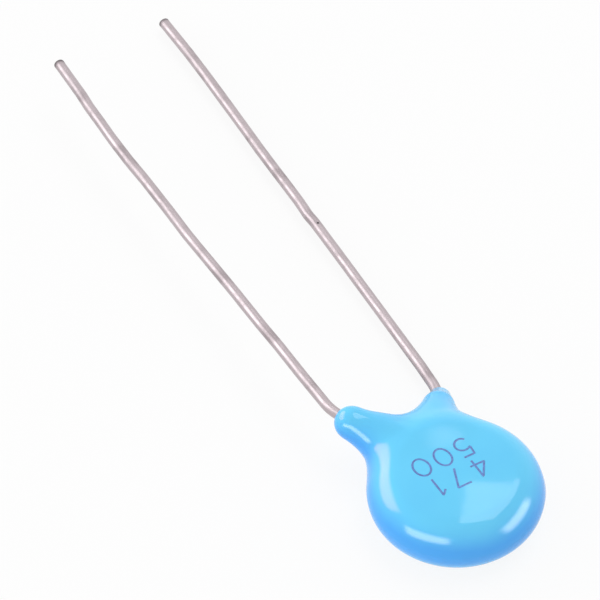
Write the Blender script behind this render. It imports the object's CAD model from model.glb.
# %% [markdown]
# # A blue disc capacitor with two long leads
# The real part is a small ceramic plate with a silver film on each face.  A tinned wire is
# soldered across each film, and then the whole is dipped in blue epoxy, which leaves a
# glossy skin that climbs each wire in a short leg.
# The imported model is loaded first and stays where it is.  It could be shown as it stands,
# but its coat has facets, so the skin and the wires are made again here, finer, in the
# same places, and everything else gets its finish.
# %% Load the fixed model
import math

import bpy
import numpy as np
from mathutils import Matrix, Vector


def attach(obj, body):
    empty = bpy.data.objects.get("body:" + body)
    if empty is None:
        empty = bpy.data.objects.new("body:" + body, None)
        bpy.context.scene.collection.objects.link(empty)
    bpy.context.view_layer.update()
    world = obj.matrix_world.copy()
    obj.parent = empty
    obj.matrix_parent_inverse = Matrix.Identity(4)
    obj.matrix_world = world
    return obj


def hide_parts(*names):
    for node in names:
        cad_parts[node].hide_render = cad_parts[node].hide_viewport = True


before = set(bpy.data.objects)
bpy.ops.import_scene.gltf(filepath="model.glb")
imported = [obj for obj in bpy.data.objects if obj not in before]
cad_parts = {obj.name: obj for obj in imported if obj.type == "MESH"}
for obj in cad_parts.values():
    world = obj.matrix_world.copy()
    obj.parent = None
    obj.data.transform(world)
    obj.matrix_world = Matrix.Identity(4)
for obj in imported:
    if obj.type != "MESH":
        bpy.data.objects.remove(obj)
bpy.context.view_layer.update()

MM = 0.001
print("nodes:", sorted(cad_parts))

# %% [markdown]
# ## The camera
# A small part is seen best from far away through a long lens, so that its near and far
# ends keep their sizes.  The camera could be aimed with a Track To constraint, but here
# the body has to sit low and to the right in a square picture, so the view is worked out:
# a sight line to the body at a known slant, and then a camera turned a little off it.
# Places and lengths in the picture are in pixels, and angles in degrees.
# %% Place the camera
PICTURE = 600
FOCAL_PX = 5225
SENSOR_MM = 36
BODY_PX = (456.04, 489.77)
PX_PER_MM = 19.946
SIGHT_ELEVATION = 50.35
HEADING = -31.07
MID_Z = 1.68
BODY_MIDDLE = Vector((0, 0, MID_Z))

off_x = BODY_PX[0] - PICTURE / 2
off_y = BODY_PX[1] - PICTURE / 2
pitch = math.radians(SIGHT_ELEVATION) - math.atan(off_y / FOCAL_PX)
heading = math.radians(HEADING)
ahead = Vector((-math.sin(heading) * math.cos(pitch),
                math.cos(heading) * math.cos(pitch), -math.sin(pitch)))
right = ahead.cross(Vector((0, 0, 1))).normalized()
above = right.cross(ahead)
depth = FOCAL_PX / PX_PER_MM
eye = BODY_MIDDLE - depth * (ahead + right * off_x / FOCAL_PX - above * off_y / FOCAL_PX)

lens = bpy.data.cameras.new("camera")
lens.sensor_width = SENSOR_MM
lens.lens = SENSOR_MM * FOCAL_PX / PICTURE
lens.clip_start = 10 * MM
camera = bpy.data.objects.new("camera", lens)
turn = Matrix((right, above, -ahead)).transposed().to_4x4()
camera.matrix_world = Matrix.Translation(eye * MM) @ turn
bpy.context.scene.collection.objects.link(camera)
bpy.context.scene.camera = camera
bpy.context.scene.view_settings.view_transform = "Standard"
print("lens %.0f mm, %.0f mm from the body" % (lens.lens, depth))

# %% [markdown]
# ## A short way to write node trees
# Materials and Geometry Nodes are both trees of nodes with sockets.  Wiring them by hand
# in Python is long, so two small helpers are made: a Wire, which is one socket that can be
# added and multiplied like a number, and a Tree, whose node() makes a node, sets it and
# feeds it in one call.
# %% Wires that add and multiply
class Wire:
    """One socket that gives a value, with Python's arithmetic."""

    def __init__(self, tree, socket):
        self.tree = tree
        self.socket = socket

    def maths(self, operation, first, second):
        """One step of arithmetic, on wires or numbers."""
        inputs = {0: first, 1: second}
        return self.tree.node("ShaderNodeMath", {"operation": operation}, inputs)

    def __add__(self, other):
        return self.maths("ADD", self, other)

    def __sub__(self, other):
        return self.maths("SUBTRACT", self, other)

    def __rsub__(self, other):
        return self.maths("SUBTRACT", other, self)

    def __mul__(self, other):
        return self.maths("MULTIPLY", self, other)

    def __truediv__(self, other):
        return self.maths("DIVIDE", self, other)

    def power(self, other):
        return self.maths("POWER", self, other)

    def at_most(self, other):
        return self.maths("MINIMUM", self, other)

    def at_least(self, other):
        return self.maths("MAXIMUM", self, other)

    __radd__ = __add__
    __rmul__ = __mul__


print("helper:", Wire.__name__)

# %% [markdown]
# A Tree also has a short name for each thing that the finishes below need more than once:
# a noise, a change from one level to another, a blend of two colours, a bump, and spots
# that fade with distance.
# %% Trees that are filled by plain calls
class Tree:
    """A node tree that is filled by plain calls."""

    def __init__(self, tree):
        self.tree = tree
        tree.nodes.clear()

    def node(self, kind, settings=None, inputs=None, output=0):
        """Makes a node: its settings first, then its inputs, and gives one output."""
        made = self.tree.nodes.new(kind)
        for name, value in (settings or {}).items():
            setattr(made, name, value)
        for name, value in (inputs or {}).items():
            if isinstance(value, Wire):
                self.tree.links.new(value.socket, made.inputs[name])
            else:
                made.inputs[name].default_value = value
        return Wire(self, made.outputs[output]) if len(made.outputs) else made

    def also(self, wire, output):
        """Another output of the node that gave this wire."""
        return Wire(self, wire.socket.node.outputs[output])

    def parts(self, vector):
        """The X, Y and Z of a vector."""
        x = self.node("ShaderNodeSeparateXYZ", inputs={0: vector})
        return x, self.also(x, "Y"), self.also(x, "Z")

    def noise(self, place, scale, detail=2, roughness=0.5):
        """A soft random pattern round 0.5, with about so many lumps to each unit of place."""
        return self.node("ShaderNodeTexNoise", {}, {
            "Vector": place, "Scale": scale, "Detail": detail, "Roughness": roughness})

    def span(self, value, low, high, to_low=0, to_high=1):
        """The value, from between low and high to between to_low and to_high."""
        return self.node("ShaderNodeMapRange", {"interpolation_type": "SMOOTHSTEP"}, {
            "Value": value, "From Min": low, "From Max": high,
            "To Min": to_low, "To Max": to_high})

    def blend(self, mask, first, second):
        """The first colour where the mask is 0, and the second where it is 1."""
        return self.node("ShaderNodeMix", {"data_type": "RGBA"},
                         {0: mask, 6: first, 7: second}, 2)

    def bump(self, height, strength, depth):
        """A relief, so many mm deep, that only the light sees."""
        return self.node("ShaderNodeBump", {}, {
            "Strength": strength, "Distance": depth * MM, "Height": height})

    def away(self, place, middle):
        """How far each place is from the middle."""
        return self.node("ShaderNodeVectorMath", {"operation": "DISTANCE"},
                         {0: place, 1: middle}, output="Value")

    def spots(self, place, spots, core):
        """1 in the core of each spot, a middle and a radius, and 0 past its radius."""
        total = 0
        for middle, radius in spots:
            total = self.span(self.away(place, middle), radius * core, radius, 1, 0) + total
        return total


print("helper:", Tree.__name__)

# %% [markdown]
# ## Materials start from one call
# Each finish is a Principled shader.  What is the same all over a surface is set straight
# on its sockets, and what changes over the surface is wired.
# %% Start a finish
def new_finish(name, **constants):
    """A material, its tree and its shader, with the shader's constant values set."""
    material = bpy.data.materials.new(name)
    material.use_nodes = True
    tree = Tree(material.node_tree)
    shader = tree.tree.nodes.new("ShaderNodeBsdfPrincipled")
    for socket, value in constants.items():
        shader.inputs[socket.replace("_", " ")].default_value = value
    end = tree.tree.nodes.new("ShaderNodeOutputMaterial")
    tree.tree.links.new(shader.outputs[0], end.inputs[0])
    return material, tree, shader


def wire_up(tree, shader, **links):
    """Feeds wires to the shader's sockets."""
    for socket, wire in links.items():
        tree.tree.links.new(wire.socket, shader.inputs[socket.replace("_", " ")])


def object_place(tree):
    """Where a point is on its object, in millimetres."""
    place = tree.node("ShaderNodeTexCoord", output="Object")
    return tree.node("ShaderNodeVectorMath", {"operation": "SCALE"},
                     {0: place, "Scale": 1 / MM})


print("finishes start from new_finish")

# %% [markdown]
# ## The sizes of the part
# All sizes are in millimetres.  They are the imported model's but for two, which a sharp
# gloss would give away: the upper face is domed by CROWN, a little more than there, and
# the skin lies smooth over the wires that cross the disc, where the model has faint ridges.
# The middle of the disc is above the origin, and the top wire runs on the side of -X.  The
# bottom wire is the same thing turned half a turn about Y, so only the top one is
# described.
# %% Sizes
WIRE_R = 0.275
WIRE_Z = 1.105
BODY_R = 4.5
EDGE_R = 1.6
CROWN = 0.3
LEAD_X = -3.25
LEAD_Y = 7.6
BEND_R = 3.0
CROSSING = math.radians(38)
CROSSING_RUN = 7.2
BEND_LEN = BEND_R * CROSSING


def wire_at(run):
    """Place in plan on the top wire, so many mm down from where it straightens."""
    arc = min(run, BEND_LEN) / BEND_R
    rest = max(run - BEND_LEN, 0)
    return np.array([LEAD_X + BEND_R * (1 - math.cos(arc)) + rest * math.sin(arc),
                     LEAD_Y - BEND_R * math.sin(arc) - rest * math.cos(arc)])


print("wire's inner end:", wire_at(BEND_LEN + CROSSING_RUN).round(2))

# %% [markdown]
# ## The dipped skin as a distance
# Epoxy that runs and sets makes no corners: it fills each one with a soft curve.  Such a
# form is hard to model by moving points, and easy to describe: give the distance from any
# point to a few plain forms (a round cake, tapered legs, a web between them, a sleeve round
# each wire), and melt these distances together.  The skin is where the result is nothing.
# %% Plain forms and how they melt together
def melt(a, b, width):
    """The lesser of two distances, eased where they differ by less than the width."""
    share = np.clip(0.5 + (b - a) / (2 * width), 0, 1)
    return b * (1 - share) + a * share - width * share * (1 - share)


def taper_gap(p, a, a_r, b, b_r):
    """Distance to a round-ended taper between two balls."""
    ab = b - a
    share = np.clip((p - a) @ ab / (ab @ ab), 0, 1)
    return np.linalg.norm(p - a - share[..., None] * ab, axis=-1) - a_r - (b_r - a_r) * share


def cake_gap(p):
    """Distance to the round cake that covers the ceramic."""
    r = np.hypot(p[..., 0], p[..., 1])
    fall = np.where(p[..., 2] > 0, CROWN * (r / BODY_R) ** 2, 0)
    out = r - (BODY_R - EDGE_R)
    up = np.abs(p[..., 2]) + fall - (MID_Z - EDGE_R)
    corner = np.hypot(np.maximum(out, 0), np.maximum(up, 0))
    return np.minimum(np.maximum(out, up), 0) + corner - EDGE_R


print("gap at the middle of the disc: %.2f mm" % cake_gap(np.zeros(3)))

# %% [markdown]
# Each leg is a chain of three balls, from its tip beside the wire to its root in the
# disc.  The two legs have run differently, so each size is a pair: the top wire's leg and
# then the bottom wire's.  The second is drawn as if on the top face, and its points are
# turned half a turn about Y.  A sleeve follows each wire from its leg's tip to the root.
# %% The legs and the sleeves
LEG_STOP = [1.88, 1.34]
LEG_OUT = [0.14, 0.06]
LEG_MID_IN = [0.18, 0.61]
LEG_MID_DOWN = [0.05, 0.85]
LEG_MID_Z = [0.95, 0.45]
LEG_ROOT = [[-0.85, 3.41, 0], [-0.82, 3.07, 0]]
LEG_R = [[0.62, 0.86, 0.7], [0.6, 0.8, 1.03]]
SLEEVE_R = 0.475
SLEEVE_START = 0.25
SLEEVE_RUN = 3.4
SLEEVE_TO = np.append(wire_at(BEND_LEN + SLEEVE_RUN), WIRE_Z)


def leg_gap(p, side):
    """Distance to a leg: a taper from its tip to its middle, and one from there to its root."""
    tip = np.append(wire_at(LEG_STOP[side]) - [LEG_OUT[side], 0], WIRE_Z)
    mid = np.array([tip[0] + LEG_MID_IN[side], tip[1] - LEG_MID_DOWN[side], LEG_MID_Z[side]])
    tip_r, mid_r, root_r = LEG_R[side]
    return np.minimum(taper_gap(p, tip, tip_r, mid, mid_r),
                      taper_gap(p, mid, mid_r, np.array(LEG_ROOT[side]), root_r))


def sleeve_gap(p, side):
    """Distance to the sleeve round a wire."""
    start = np.append(wire_at(LEG_STOP[side] + SLEEVE_START), WIRE_Z)
    return taper_gap(p, start, SLEEVE_R, SLEEVE_TO, SLEEVE_R)


print("sleeve ends at", SLEEVE_TO.round(2))

# %% [markdown]
# The whole coat starts from the cake, and melts the web, the legs and the sleeves into it
# one after the other, each over its own width.  A wide melt makes a long, soft hollow.
# Last, the underside is cut flat, because the part rests on it.
# %% The whole coat
LEG_MELT = [2.07, 1.75]
SLEEVE_MELT = 0.3
WEB_END = np.array([-1.15, 4.2, 0.29])
WEB_R = 0.85
WEB_MELT = 0.5
HALF_TURN = np.array([-1, 1, -1])


def coat_gap(p):
    """Distance from points, with z = 0 at the ceramic's middle, to the whole coat."""
    q = p * HALF_TURN
    gap = melt(cake_gap(p), taper_gap(p, WEB_END, WEB_R, WEB_END * HALF_TURN, WEB_R), WEB_MELT)
    for side, place in enumerate((p, q)):
        gap = melt(gap, leg_gap(place, side), LEG_MELT[side])
    for side, place in enumerate((p, q)):
        gap = melt(gap, sleeve_gap(place, side), SLEEVE_MELT)
    return np.maximum(gap, -MID_Z - p[..., 2])


print("coat's gap at the middle of the disc: %.2f mm" % coat_gap(np.zeros(3)))

# %% [markdown]
# ## From a distance to a mesh
# Blender's metaballs could do this, but they know no tapers.  A surface net is short
# enough to write: fill the box with a grid, put one point in each cell that the skin
# crosses, and join the four cells round each grid edge that it cuts.  Then each point is
# eased towards its neighbours and slid back onto the skin, which leaves even quads.
# %% A net over the skin
def net_over(gap, low, high, step):
    """Points and quads, closed and facing outwards, near the places where gap is nothing."""
    axes = [np.arange(a, b, step) for a, b in zip(low, high)]
    grid = np.stack(np.meshgrid(*axes, indexing="ij"), -1)
    inside = gap(grid) < 0
    corners = sum(inside[i:i - 1 or None, j:j - 1 or None, k:k - 1 or None].astype(int)
                  for i in (0, 1) for j in (0, 1) for k in (0, 1))
    crossed = (corners > 0) & (corners < 8)
    number = np.full(crossed.shape, -1)
    number[crossed] = np.arange(crossed.sum())
    points = grid[:-1, :-1, :-1][crossed] + step / 2
    quads = []
    for axis in range(3):
        order = (axis, (axis + 1) % 3, (axis + 2) % 3)
        within = inside.transpose(order)[:, 1:-1, 1:-1]
        cell = number.transpose(order)
        i, j, k = np.nonzero(within[:-1] != within[1:])
        ring = np.stack([cell[i, j, k], cell[i, j + 1, k],
                         cell[i, j + 1, k + 1], cell[i, j, k + 1]], 1)
        quads.append(np.where(within[i, j, k][:, None], ring, ring[:, ::-1]))
    return points, np.concatenate(quads)


def slope_of(gap, points, nudge=1e-4):
    """Which way, and how fast, the gap grows at each point."""
    return np.stack([gap(points + nudge * e) - gap(points - nudge * e)
                     for e in np.eye(3)], -1) / (2 * nudge)


def slide_onto(gap, points):
    """Each point moved along the slope of the gap until it lies on the skin."""
    slope = slope_of(gap, points)
    return points - gap(points)[:, None] * slope / (slope ** 2).sum(1, keepdims=True)


def ease(points, quads):
    """Each point moved halfway to the mean of its neighbours along the quads' edges."""
    a = quads.ravel()
    b = np.roll(quads, 1, 1).ravel()
    total = np.zeros_like(points)
    np.add.at(total, a, points[b])
    np.add.at(total, b, points[a])
    count = np.bincount(np.concatenate([a, b]), minlength=len(points))
    return (points + total / count[:, None]) / 2


NET_STEP = 0.07
NET_LOW = [-5.1, -5.1, -2.0]
NET_HIGH = [5.1, 8.0, 2.2]
EASINGS = 4
LAST_SLIDES = 3
skin_points, skin_quads = net_over(coat_gap, NET_LOW, NET_HIGH, NET_STEP)
for _ in range(EASINGS):
    skin_points = slide_onto(coat_gap, ease(skin_points, skin_quads))
for _ in range(LAST_SLIDES):
    skin_points = slide_onto(coat_gap, skin_points)
print("skin:", len(skin_points), "points,", len(skin_quads), "quads, worst gap %.4f mm"
      % np.abs(coat_gap(skin_points)).max())

# %% [markdown]
# ## A piece from points and faces
# Every piece keeps its object at the origin, with its place in its mesh, so that the
# patterns on it stay where they are.
# %% Make a piece
def new_piece(name, points_mm, faces, material):
    """A smooth mesh object from points in mm."""
    mesh = bpy.data.meshes.new(name)
    mesh.from_pydata((np.asarray(points_mm) * MM).tolist(), [], np.asarray(faces).tolist())
    mesh.materials.append(material)
    mesh.polygons.foreach_set("use_smooth", [True] * len(mesh.polygons))
    piece = bpy.data.objects.new(name, mesh)
    bpy.context.scene.collection.objects.link(piece)
    return piece


def settle(piece, node):
    """The piece stands for a node of the model and moves with it."""
    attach(piece, "root")
    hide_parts(node)


print("pieces start from new_piece")

# %% [markdown]
# ## Blue epoxy
# Dipping epoxy is a clean blue with a hard gloss.  Over the two flat faces it is a thin
# film on pale metal and looks lighter, and round the rim, where it is thick, it is deeper.
# The top wire's leg is fat, and deep in colour to a greater height.  Much has drained from
# the bottom wire's, which is pale again.  Light that wanders under the surface could give
# this depth, but it is slow to render and little seen in so small a part, so the depth is a
# blend of two blues by height, with a faint cloud in it.  The gloss comes from a low
# roughness and a faint ripple, not from painted light.  Two spots are a little duller: a
# wide one by the hollow between the legs, and a small one at the tip of the top wire's leg.
# %% The epoxy's finish
FACE_BLUE = (0.12, 0.63, 0.97, 1)
RIM_BLUE = (0.055, 0.39, 0.92, 1)
THIN_ABOVE, THICK_BELOW = 1.45, 0.2
LEG_STARTS, LEG_ENDS = 3.0, 4.8
BETWEEN_LEGS = 1.0
TOP_LEG_DEEPER = 0.48
BOTTOM_LEG_THINNER = 0.7
CLOUD_SCALE, CLOUD_SHARE = 0.35, 0.08
RIPPLE_SCALE, RIPPLE_STRENGTH, RIPPLE_DEPTH = 0.9, 0.25, 0.02
GLOSS, DULLER = 0.07, 0.18
DULL_SPOTS = [((0.6, 2.3, 3.3), 1.9), ((-3.3, 6.1, 3.3), 0.6)]
DULL_CORE = 0.2

epoxy, tree, shader = new_finish("blue_epoxy", IOR=1.52)
place = object_place(tree)
x, y, z = tree.parts(place)
legs = tree.span(y, LEG_STARTS, LEG_ENDS)
bottom_leg = legs * tree.span(x, -BETWEEN_LEGS, BETWEEN_LEGS)
top_leg = legs - bottom_leg
above_middle = ((z - MID_Z) * (z - MID_Z)).power(0.5) - top_leg * TOP_LEG_DEEPER
thick = tree.span(above_middle, THICK_BELOW, THIN_ABOVE, 1, 0)
thick = thick * (1 - bottom_leg * BOTTOM_LEG_THINNER)
cloud = tree.span(tree.noise(place, CLOUD_SCALE), 0.35, 0.65)
blue = tree.blend((thick + cloud * CLOUD_SHARE).at_most(1), FACE_BLUE, RIM_BLUE)
ripple = tree.bump(tree.noise(place, RIPPLE_SCALE, 1), RIPPLE_STRENGTH, RIPPLE_DEPTH)
dull = tree.spots(place, DULL_SPOTS, DULL_CORE)
wire_up(tree, shader, Base_Color=blue, Roughness=dull * DULLER + GLOSS, Normal=ripple)
print("finish:", epoxy.name)

# %% [markdown]
# ## The coat
# The net becomes a piece, lifted so that the part stands on its underside.  Smooth shading
# could take its normals from the quads, but a sharp reflection would show each one, so
# they are set from the slope of the distance instead.
# %% The coat
coat = new_piece("coat", skin_points + [0, 0, MID_Z], skin_quads, epoxy)
slope = slope_of(coat_gap, skin_points)
coat.data.normals_split_custom_set_from_vertices(
    slope / np.linalg.norm(slope, axis=1, keepdims=True))
settle(coat, "epoxy_coating")
print("coat:", len(coat.data.polygons), "quads")

# %% [markdown]
# ## Tinned wire
# The leads are drawn wire with a skin of tin: bright, a little soft, streaked along its
# length and mottled.  A metal's colour is its Base Color, so the streaks and the mottling
# blend two greys, and change the roughness with them.  Two nicks from handling and the two
# cut ends are dark spots at fixed places.
# %% The tin's finish
TIN = (0.50, 0.435, 0.455, 1)
DULL_TIN = (0.36, 0.31, 0.325, 1)
WORN_TIN = (0.09, 0.08, 0.085, 1)
BRIGHT, SOFT, WORN_MORE = 0.22, 0.42, 0.4
NICKS = [((3.877, 19.757, 0.849), 0.09), ((-3.53, 22.348, 2.672), 0.1)]
CUT_ENDS = [((-2.93, 35.41, 2.785), 0.46), ((4.5, 37.12, 0.575), 0.46)]
WORN_CORE = 0.5
STREAK_SCALES = (6, 0.5, 6)
PATCH_SCALE, MOTTLE_SCALE, GRAIN_SCALE = 0.6, 2.5, 9
GRAIN_STRENGTH, GRAIN_DEPTH = 0.3, 0.01

tin, tree, shader = new_finish("tinned_wire", Metallic=1.0)
place = object_place(tree)
along = tree.node("ShaderNodeMapping", {}, {"Vector": place, "Scale": STREAK_SCALES})
streak = tree.noise(along, 1.0, 3, 0.6)
patch = tree.span(tree.noise(place, PATCH_SCALE), 0.45, 0.7)
grain = tree.noise(place, GRAIN_SCALE)
mottle = tree.noise(place, MOTTLE_SCALE)
dulled = tree.span(streak * 0.4 + patch * 0.3 + mottle * 0.3, 0.3, 0.75)
worn = tree.spots(place, NICKS + CUT_ENDS, WORN_CORE).at_most(1)
colour = tree.blend(worn, tree.blend(dulled, TIN, DULL_TIN), WORN_TIN)
softness = tree.span(streak * 0.5 + mottle * 0.5, 0.35, 0.65, BRIGHT, SOFT)
wire_up(tree, shader, Base_Color=colour, Roughness=softness + worn * WORN_MORE,
        Normal=tree.bump(streak + grain * 0.3, GRAIN_STRENGTH, GRAIN_DEPTH))
print("finish:", tin.name)

# %% [markdown]
# ## The route of a lead
# Each lead crosses its face of the disc, bends, and runs out straight, then leans off in
# one wide bow near its tip.  Like any loose lead it also sways, by a few hundredths of a
# millimetre.  A noise could sway it, but not where it is wanted, so the sways are a short
# list of heights and offsets chosen by eye.  Towards the tip the points lie closer
# together, for the rounded edge of the cut.
# %% Routes of the leads
LONG_RUN = {"top": 20.6, "bottom": 24.8}
LONG_LEAN = {"top": 0, "bottom": 2.7}
TIP_RUN = {"top": 5.4, "bottom": 3.5}
TIP_LEAN = {"top": -3.4, "bottom": 0.4}
BOW_R = 30
SWAY = {"top": [(-2.2, -0.04), (-1.2, 0.06), (0, 0.09), (2, 0.06), (4.4, 0.06), (6, 0.025),
                (9, 0.015), (11.8, -0.04), (13.4, -0.065), (15.5, -0.02), (18, -0.005),
                (19.5, -0.035), (21, -0.015), (22.5, -0.01), (24, -0.045), (25.2, -0.015),
                (28, -0.06)],
        "bottom": [(-1.2, 0.02), (0.1, -0.02), (1, -0.05), (5.3, -0.05), (11.3, -0.037),
                   (12.5, -0.03), (13.1, 0.02), (13.7, -0.005), (14.4, -0.02), (16.5, 0.005),
                   (18.5, 0.025), (20, 0.01), (23.3, 0), (25.5, 0.005), (26.7, -0.025),
                   (30, -0.02)]}
ROUTE_STEP = 0.15
TIP_R = 0.06
TIP_STEPS = [1, 0.75, 0.5, 0.3, 0.14, 0.04, 0]


def straight(start, lean, length):
    """Points after the start, to the far end of a straight stretch."""
    lean = math.radians(lean)
    count = math.ceil(length / ROUTE_STEP)
    steps = np.arange(1, count + 1) / count
    return start + np.outer(steps * length, [-math.sin(lean), math.cos(lean)])


def route(side):
    """The middle line of a lead in plan, drawn for the top face, from its inner end."""
    runs = np.arange(BEND_LEN + CROSSING_RUN, 0, -ROUTE_STEP)
    line = [wire_at(run) for run in runs] + [wire_at(0)]
    line = np.vstack([line, straight(line[-1], LONG_LEAN[side], LONG_RUN[side])])
    bow = LONG_LEAN[side] - TIP_LEAN[side]
    bow_len = abs(math.radians(bow)) * BOW_R
    bits = max(2, math.ceil(bow_len / ROUTE_STEP))
    for bit in range(bits):
        lean = LONG_LEAN[side] - bow * (bit + 0.5) / bits
        line = np.vstack([line, straight(line[-1], lean, bow_len / bits)[-1:]])
    line = np.vstack([line, straight(line[-1], TIP_LEAN[side], TIP_RUN[side])])
    last = line[-1]
    step = last - line[-2]
    step = step / np.linalg.norm(step)
    line = np.vstack([line[:-1], [last - back * TIP_R * step for back in TIP_STEPS]])
    height, sway = np.array(SWAY[side]).T
    line[:, 0] += np.interp(line[:, 1] - LEAD_Y, height, sway, left=0)
    return line


for side in ("top", "bottom"):
    print(side, "lead ends at", route(side)[-1].round(2), "as drawn for the top")

# %% [markdown]
# ## Wire from a path
# A tube along a path is what Geometry Nodes do best: a circle is swept along the path with
# closed ends and narrows over the last hundredths of a millimetre, which rounds the edge
# of the cut, and the skin of the tube is pushed in and out a little by a noise stretched
# along the wire.  Curve bevel would give the tube too, but without the unevenness.
# %% Start and end a Geometry Nodes tree
def new_geometry_tree(name, *inputs):
    """A Geometry Nodes tree with named inputs, and the wires that they give."""
    group = bpy.data.node_groups.new(name, "GeometryNodeTree")
    group.interface.new_socket("Geometry", in_out="INPUT", socket_type="NodeSocketGeometry")
    for label, kind in inputs:
        group.interface.new_socket(label, in_out="INPUT", socket_type="NodeSocket" + kind)
    group.interface.new_socket("Geometry", in_out="OUTPUT", socket_type="NodeSocketGeometry")
    tree = Tree(group)
    entry = tree.node("NodeGroupInput")
    return tree, {label: tree.also(entry, label)
                  for label in ["Geometry"] + [label for label, _ in inputs]}


def end_tree(tree, geometry, material):
    """Realize Instances and Set Material, and then the tree's own output."""
    whole = tree.node("GeometryNodeRealizeInstances", inputs={"Geometry": geometry})
    dressed = tree.node("GeometryNodeSetMaterial", inputs={
        "Geometry": whole, "Material": material})
    tree.node("NodeGroupOutput", inputs={"Geometry": dressed})


def grow(name, source, group, **values):
    """Runs a tree on an object and returns a plain mesh piece made of the result."""
    modifier = source.modifiers.new("grow", "NODES")
    modifier.node_group = group
    for item in group.interface.items_tree:
        label = item.name.replace(" ", "_")
        if item.in_out == "INPUT" and label in values:
            modifier[item.identifier] = values[label]
    grown = source.evaluated_get(bpy.context.evaluated_depsgraph_get())
    mesh = bpy.data.meshes.new_from_object(grown)
    bpy.data.objects.remove(source)
    mesh.name = name
    piece = bpy.data.objects.new(name, mesh)
    bpy.context.scene.collection.objects.link(piece)
    return piece


print("trees start from new_geometry_tree")

# %% The wire-drawing tree
LUMPS_ACROSS = 2.5
LUMPS_ALONG = 0.35
NOISE_MIDDLE = 0.55

tree, given = new_geometry_tree(
    "drawn_wire", ("Wire Radius", "Float"), ("Tip Radius", "Float"), ("Sides", "Int"),
    ("Unevenness", "Float"), ("Seed", "Float"), ("Tin", "Material"))
along = tree.node("GeometryNodeSplineParameter", output="Length")
whole = tree.node("GeometryNodeSplineLength")
to_tip = ((whole - along) / given["Tip Radius"]).at_most(1)
drop = 1 - (1 - (1 - to_tip).power(2)).at_least(0).power(0.5)
taper = 1 - drop * given["Tip Radius"] / given["Wire Radius"]
ring = tree.node("GeometryNodeCurvePrimitiveCircle", inputs={
    "Resolution": given["Sides"], "Radius": given["Wire Radius"]})
tube = tree.node("GeometryNodeCurveToMesh", inputs={
    "Curve": given["Geometry"], "Profile Curve": ring, "Scale": taper, "Fill Caps": True})
spot = tree.node("ShaderNodeVectorMath", {"operation": "MULTIPLY"}, {
    0: tree.node("GeometryNodeInputPosition"),
    1: (LUMPS_ACROSS / MM, LUMPS_ALONG / MM, LUMPS_ACROSS / MM)})
uneven = tree.node("ShaderNodeTexNoise", {"noise_dimensions": "4D"}, {
    "Vector": spot, "W": given["Seed"], "Scale": 1.0, "Detail": 1.0})
push = tree.node("ShaderNodeVectorMath", {"operation": "SCALE"}, {
    0: tree.node("GeometryNodeInputNormal"),
    "Scale": (uneven - NOISE_MIDDLE) * given["Unevenness"]})
dented = tree.node("GeometryNodeSetPosition", inputs={"Geometry": tube, "Offset": push})
smooth = tree.node("GeometryNodeSetShadeSmooth", inputs={"Geometry": dented})
end_tree(tree, smooth, given["Tin"])
drawn_wire = tree.tree
print("tree:", drawn_wire.name, len(drawn_wire.nodes), "nodes")

# %% [markdown]
# Each lead is drawn a hair thicker than the bare wire, by its skin of tin.  The bottom one
# takes its route turned half a turn about Y, and each has its own seed.
# %% Draw both leads
TIN_SKIN = 0.015
WIRE_SIDES = 36
UNEVENNESS = 0.02
SHARP_ANGLE = math.radians(50)


def new_path(name, strokes):
    """A curve object of open strokes, each a list of points in mm."""
    curve = bpy.data.curves.new(name, "CURVE")
    curve.dimensions = "3D"
    for stroke in strokes:
        spline = curve.splines.new("POLY")
        spline.points.add(len(stroke) - 1)
        for point, place in zip(spline.points, stroke):
            point.co = (*(np.asarray(place) * MM), 1)
    path = bpy.data.objects.new(name, curve)
    bpy.context.scene.collection.objects.link(path)
    return path


leads = []
for seed, side in enumerate(("top", "bottom")):
    half_turn = 1 if side == "top" else -1
    line = route(side)
    line = np.column_stack([line[:, 0] * half_turn, line[:, 1],
                            np.full(len(line), MID_Z + WIRE_Z * half_turn)])
    lead = grow("lead_" + side, new_path("path", [line]), drawn_wire,
                Wire_Radius=(WIRE_R + TIN_SKIN) * MM, Tip_Radius=TIP_R * MM,
                Sides=WIRE_SIDES, Unevenness=UNEVENNESS * MM, Seed=float(seed), Tin=tin)
    lead.data.set_sharp_from_angle(angle=SHARP_ANGLE)
    settle(lead, side + "_lead")
    leads.append(lead)
    print(lead.name, len(lead.data.polygons), "faces")

# %% [markdown]
# ## The printed numbers
# The value is stamped on the face in thin purple ink, two rows of three, upside down to
# the leads.  A texture could hold it, but strokes are cleaner: each numeral is one to
# three pen strokes, swept as a thin ribbon and dropped onto the skin by a Raycast.
# %% Pen strokes of the numerals
def arc(middle, radii, start, stop, bits=14):
    """Points on an ellipse between two angles in degrees."""
    turns = np.radians(np.linspace(start, stop, bits))
    return [(middle[0] + radii[0] * math.cos(t), middle[1] + radii[1] * math.sin(t))
            for t in turns]


NUMERALS = {
    "0": [arc((0, 0.5), (0.36, 0.5), 0, 360, 28)],
    "1": [[(-0.24, 0.76), (0, 1), (0, 0)]],
    "4": [[(0.14, 0), (0.14, 1), (-0.34, 0.28), (0.36, 0.28)]],
    "5": [[(0.3, 1), (-0.22, 1), (-0.27, 0.55)] + arc((0, 0.32), (0.34, 0.33), 130, -140)],
    "7": [[(-0.33, 1), (0.33, 1), (-0.06, 0)]],
}
ROWS = [("471", -0.52), ("500", 0.98)]
ROWS_X = -0.2
NUMERAL_H = 1.16
NUMERAL_PITCH = 1.25


def numeral_strokes():
    """All the strokes in plan, turned half a turn so that they face away from the leads."""
    strokes = []
    for text, row_y in ROWS:
        for count, mark in enumerate(text):
            middle = ROWS_X - (count - 1) * NUMERAL_PITCH
            for stroke in NUMERALS[mark]:
                strokes.append([(middle - u * NUMERAL_H, row_y - (v - 0.5) * NUMERAL_H, 0)
                                for u, v in stroke])
    return strokes


print(len(numeral_strokes()), "strokes")

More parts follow.
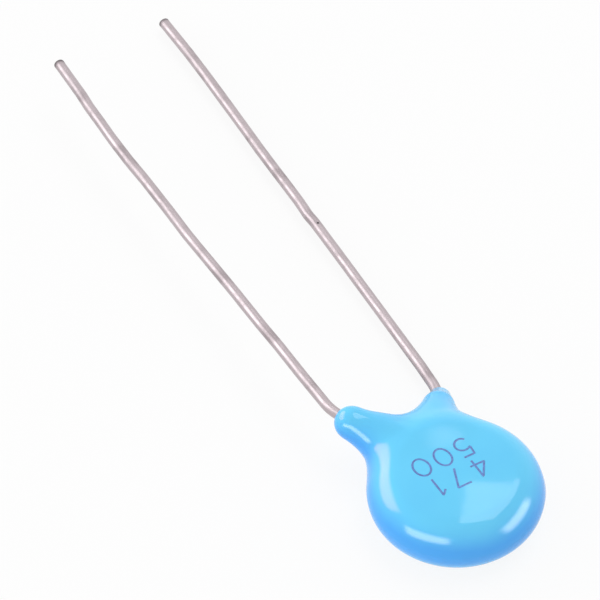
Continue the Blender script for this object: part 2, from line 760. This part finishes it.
# %% [markdown]
# Stamped ink lies unevenly, so a speckle blends it from a full purple to one that lets the
# blue through.
# %% The ink's finish
INK = (0.10, 0.165, 0.46, 1)
FAINT_INK = (0.11, 0.27, 0.66, 1)
SPECKLE_SCALE = 6

ink, tree, shader = new_finish("ink", Roughness=0.3)
speckle = tree.span(tree.noise(object_place(tree), SPECKLE_SCALE), 0.35, 0.7)
wire_up(tree, shader, Base_Color=tree.blend(speckle, INK, FAINT_INK))
print("finish:", ink.name)

# %% [markdown]
# The ribbon tree evens out the points of each stroke, sweeps a flattened circle along it,
# and asks a ray from high above where the skin is, so that the ribbon follows the dome.
# %% The ribbon tree
RIBBON_STEP = 0.06
RIBBON_SIDES = 8
RAY_FROM = 10.0
STROKE_W = 0.115
STROKE_H = 0.012

tree, given = new_geometry_tree(
    "ink_on_skin", ("Skin", "Object"), ("Stroke Width", "Float"), ("Stroke Height", "Float"),
    ("Ink", "Material"))
path = tree.node("GeometryNodeResampleCurve", {"mode": "LENGTH"}, {
    "Curve": given["Geometry"], "Length": RIBBON_STEP * MM})
ring = tree.node("GeometryNodeCurvePrimitiveCircle", inputs={
    "Resolution": RIBBON_SIDES, "Radius": 0.5})
flat = tree.node("GeometryNodeTransform", inputs={
    "Geometry": ring,
    "Scale": tree.node("ShaderNodeCombineXYZ", inputs={
        0: given["Stroke Width"], 1: given["Stroke Height"], 2: 1.0})})
ribbon = tree.node("GeometryNodeCurveToMesh", inputs={
    "Curve": path, "Profile Curve": flat, "Fill Caps": True})
high = tree.node("ShaderNodeVectorMath", {"operation": "ADD"}, {
    0: tree.node("GeometryNodeInputPosition"), 1: (0, 0, RAY_FROM * MM)})
skin = tree.node("GeometryNodeObjectInfo", inputs={"Object": given["Skin"]},
                 output="Geometry")
ray = tree.node("GeometryNodeRaycast", inputs={
    "Target Geometry": skin, "Source Position": high, "Ray Direction": (0, 0, -1)},
    output="Hit Position")
level = tree.parts(ray)[2]
dropped = tree.node("GeometryNodeSetPosition", inputs={
    "Geometry": ribbon, "Offset": tree.node("ShaderNodeCombineXYZ", inputs={2: level})})
end_tree(tree, tree.node("GeometryNodeSetShadeSmooth", inputs={"Geometry": dropped}),
         given["Ink"])
ink_on_skin = tree.tree

marking = grow("printed_numbers", new_path("strokes", numeral_strokes()), ink_on_skin,
               Skin=coat, Stroke_Width=STROKE_W * MM, Stroke_Height=STROKE_H * MM, Ink=ink)
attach(marking, "root")
print("printed_numbers:", len(marking.data.polygons), "faces")

# %% [markdown]
# ## What is sealed inside
# The ceramic, its silver films and the solder are never seen, but each still gets its own
# finish, because a part may be cut open or its coat hidden: gritty baked clay, a frosted
# film and a grainy metal.
# %% Finishes of the inner pieces
CERAMIC = [(0.52, 0.40, 0.25, 1), (0.62, 0.50, 0.33, 1)]
SILVER = [(0.72, 0.71, 0.68, 1), (0.86, 0.85, 0.82, 1)]
SOLDER = [(0.50, 0.50, 0.51, 1), (0.66, 0.66, 0.67, 1)]

ceramic, tree, shader = new_finish("ceramic", Roughness=0.7)
grit = tree.noise(object_place(tree), 5, 4, 0.6)
wire_up(tree, shader, Base_Color=tree.blend(tree.span(grit, 0.35, 0.65), *CERAMIC),
        Normal=tree.bump(grit, 0.4, 0.02))

silver, tree, shader = new_finish("silver_film", Metallic=1.0)
frost = tree.noise(object_place(tree), 14, 3)
wire_up(tree, shader, Base_Color=tree.blend(frost, *SILVER),
        Roughness=tree.span(frost, 0.3, 0.7, 0.35, 0.55), Normal=tree.bump(frost, 0.3, 0.01))

solder, tree, shader = new_finish("solder", Metallic=1.0)
grains = tree.noise(object_place(tree), 3, 3, 0.55)
wire_up(tree, shader, Base_Color=tree.blend(grains, *SOLDER),
        Roughness=tree.span(grains, 0.3, 0.7, 0.22, 0.42), Normal=tree.bump(grains, 0.4, 0.02))

INNER = {"ceramic_disc": ceramic, "top_electrode": silver, "bottom_electrode": silver,
         "top_solder": solder, "bottom_solder": solder}
for node, finish in INNER.items():
    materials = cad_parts[node].data.materials
    materials.clear()
    materials.append(finish)
print("inner pieces:", ", ".join(INNER))

# %% [markdown]
# ## The floor
# The part lies on a plain white table.  The table is a hair lower than the flat under the
# coat, because two faces in one place flicker.  What the camera and the gloss see of it is
# mostly plain white, with a share of the real shade left in, so that the part's shadow
# stays.  The bottom wire's slim leg mirrors the table at a flat angle, and plain white
# would bleach it, so near that leg the gloss sees the table only as it is lit.
# %% Floor
FLOOR_R = 1.5
FLOOR_Z = -0.02
FLOOR_CORNERS = 64
PLAIN_SHARE = 0.88
LEG_SHADE_AT = (4, 8, 0)
SHADE_WITHIN, SHADE_UP_TO = 2, 5


def shown_plain(tree, in_gloss=1):
    """1 where the camera looks, straight or through a clear piece, and in_gloss in mirrors."""
    seen = tree.node("ShaderNodeLightPath", output="Is Camera Ray")
    glossy = tree.also(seen, "Is Glossy Ray") * in_gloss
    return (seen + glossy + tree.also(seen, "Is Transmission Ray")).at_most(1)


floor_finish, tree, shader = new_finish("floor", Base_Color=(0.9, 0.9, 0.9, 1), Roughness=0.9)
end = shader.outputs[0].links[0].to_node
off_leg = tree.span(tree.away(object_place(tree), LEG_SHADE_AT), SHADE_WITHIN, SHADE_UP_TO)
surface = tree.node("ShaderNodeMixShader", inputs={
    0: shown_plain(tree, off_leg) * PLAIN_SHARE,
    1: Wire(tree, shader.outputs[0]), 2: tree.node("ShaderNodeEmission")})
tree.tree.links.new(surface.socket, end.inputs[0])

rim = [(FLOOR_R / MM * math.cos(a), FLOOR_R / MM * math.sin(a), FLOOR_Z)
       for a in np.linspace(0, 2 * math.pi, FLOOR_CORNERS, endpoint=False)]
floor = new_piece("floor", rim, [list(range(FLOOR_CORNERS))], floor_finish)
print("floor: %.1f m across" % (2 * FLOOR_R))

# %% [markdown]
# ## The room
# The room is shown plain white too, but the light that it gives is another matter.  It is
# weakest overhead and strongest low down, at the walls, and stronger on one side than on
# the other, which brings out the roundness of the rim.
# %% World
OVERHEAD, WALLS = 0.53, 1.6
BRIGHT_SIDE = (-0.5, 0.9)
BRIGHT_MORE = 0.8

world = bpy.data.worlds.new("world")
world.use_nodes = True
bpy.context.scene.world = world
tree = Tree(world.node_tree)
x, y, z = tree.parts(tree.node("ShaderNodeTexCoord", output="Generated"))
sided = (y * BRIGHT_SIDE[1] + x * BRIGHT_SIDE[0]) * BRIGHT_MORE + 1
room = (1 - z.at_least(0)).power(2) * sided * WALLS + OVERHEAD
sky = tree.node("ShaderNodeBackground", {}, {
    "Color": (1, 1, 1, 1), "Strength": room + shown_plain(tree) * (1 - room)})
tree.node("ShaderNodeOutputWorld", inputs={"Surface": sky})
print("world: %.2f overhead, about %.2f at the walls" % (OVERHEAD, OVERHEAD + WALLS))

# %% [markdown]
# ## Windows
# A glossy part shows its lamps, so they are placed by what they should show.  Each softbox
# is given as a piece of sky: its direction, how wide and how tall it looks from the part,
# and how bright its face is.  The windows' edges fade over some degrees, because a hard
# edge looks like a cut.  A gloss adds its lamp's colour to the blue under it, and the tints
# are chosen so that the sum is a pale sky blue.  The windows are wanted only in the gloss of
# some pieces, so light linking keeps them to those, and they give no matt light.  The
# skylight falls on everything.
# %% Softboxes
LAMP_FAR = 1.0
UPPER_TRIM_POWER, LOWER_TRIM_POWER = 4, 8


def fade_edges(lamp, wide, tall, soft, slant):
    """Fades a lamp's edges over soft degrees, and trims two opposite corners by the slant."""
    lamp.use_nodes = True
    tree = Tree(lamp.node_tree)
    u, v, _ = tree.parts(tree.node("ShaderNodeNewGeometry", output="Parametric"))
    upper = v + (1 - u).power(UPPER_TRIM_POWER) * slant
    lower = v - u.power(LOWER_TRIM_POWER) * slant * 2
    glow = (tree.span(u, 0, soft / wide) * tree.span(u, 1, 1 - soft / wide)
            * tree.span(lower, 0, soft / tall) * tree.span(upper, 1, 1 - soft / tall))
    face = tree.node("ShaderNodeEmission", inputs={"Strength": glow})
    tree.node("ShaderNodeOutputLight", inputs={"Surface": face})


def softbox(name, azimuth, elevation, wide, tall, brightness, roll=0, soft=0, slant=0,
            onto=None, tint=(1, 1, 1)):
    """A lamp seen from the part in that direction, that wide and tall, all in degrees."""
    azimuth = math.radians(azimuth)
    elevation = math.radians(elevation)
    aim = Vector((math.cos(azimuth) * math.cos(elevation),
                  math.sin(azimuth) * math.cos(elevation), math.sin(elevation)))
    level = Vector((0, 0, 1)).cross(aim).normalized()
    turn = Matrix((level, aim.cross(level), aim)).transposed().to_4x4()
    lamp = bpy.data.lights.new(name, "AREA")
    lamp.shape = "RECTANGLE"
    lamp.size = 2 * LAMP_FAR * math.tan(math.radians(wide) / 2)
    lamp.size_y = 2 * LAMP_FAR * math.tan(math.radians(tall) / 2)
    lamp.energy = brightness * math.pi * lamp.size * lamp.size_y
    lamp.color = tint
    if soft:
        fade_edges(lamp, wide, tall, soft, slant)
    holder = bpy.data.objects.new(name, lamp)
    holder.matrix_world = (Matrix.Translation(aim * LAMP_FAR) @ turn
                           @ Matrix.Rotation(math.radians(roll), 4, "Z"))
    holder.visible_camera = False
    if onto:
        holder.visible_diffuse = False
        shown_on = bpy.data.collections.new(name + "_shown_on")
        for piece in onto:
            shown_on.objects.link(piece)
        holder.light_linking.receiver_collection = shown_on
    bpy.context.scene.collection.objects.link(holder)


softbox("back_left_window", azimuth=120.6, elevation=26.7, wide=64, tall=43, roll=4,
        brightness=4.9, soft=13, slant=0.3, onto=[coat, marking], tint=(1, 0.36, 0.8))
softbox("front_left_window", azimuth=202.6, elevation=22.9, wide=60, tall=32, roll=14,
        brightness=6, soft=12, onto=[coat, marking], tint=(1, 0.95, 0.95))
softbox("front_right_window", azimuth=320.4, elevation=20, wide=56, tall=35, roll=5,
        brightness=6.4, soft=14, onto=[coat, marking], tint=(1, 0.95, 0.95))
softbox("wire_window", azimuth=136, elevation=38, wide=50, tall=72,
        brightness=1.85, soft=25, onto=leads)
softbox("skylight", azimuth=14.2, elevation=67.3, wide=26, tall=41, roll=-137.8,
        brightness=2.17)
